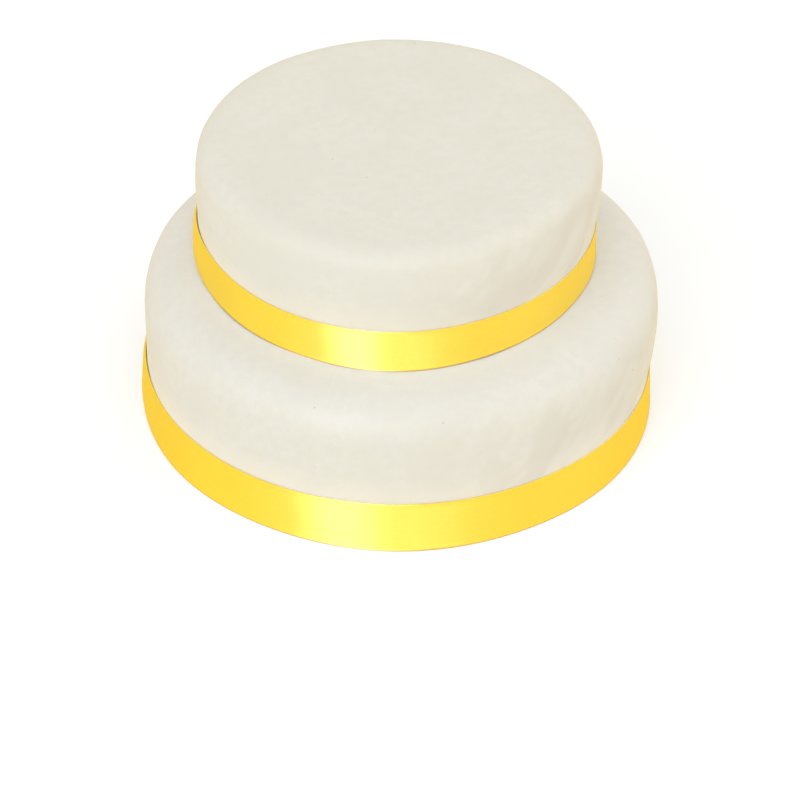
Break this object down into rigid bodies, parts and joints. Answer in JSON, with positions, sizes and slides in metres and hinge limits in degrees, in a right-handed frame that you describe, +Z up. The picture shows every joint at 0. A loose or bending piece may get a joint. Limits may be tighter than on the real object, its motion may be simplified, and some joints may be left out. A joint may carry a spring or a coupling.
{
  "type": "two-tier iced cake",
  "caption": "Tiered round cake under smooth ivory rolled icing with rounded shoulders, a yellow satin ribbon round the foot of each tier.",
  "frame": {"origin": "under the middle of the lower tier, on the surface that the cake stands on", "axes": "+Z up through the tiers; the pictured front faces -Y, +X is to the viewer's right, and the ribbons' joins are at the back, +Y"},
  "size_m": [0.2603, 0.2604, 0.1501],
  "materials": {
    "icing": "ivory rolled icing, smooth and faintly mottled, with a soft dull sheen",
    "ribbon": "yellow double-faced satin ribbon with woven edges, and a bright broad sheen"
  },
  "bodies": {
    "root": {"lower_tier": "icing", "upper_tier": "icing", "lower_ribbon": "ribbon", "upper_ribbon": "ribbon"}
  },
  "joints": []
}
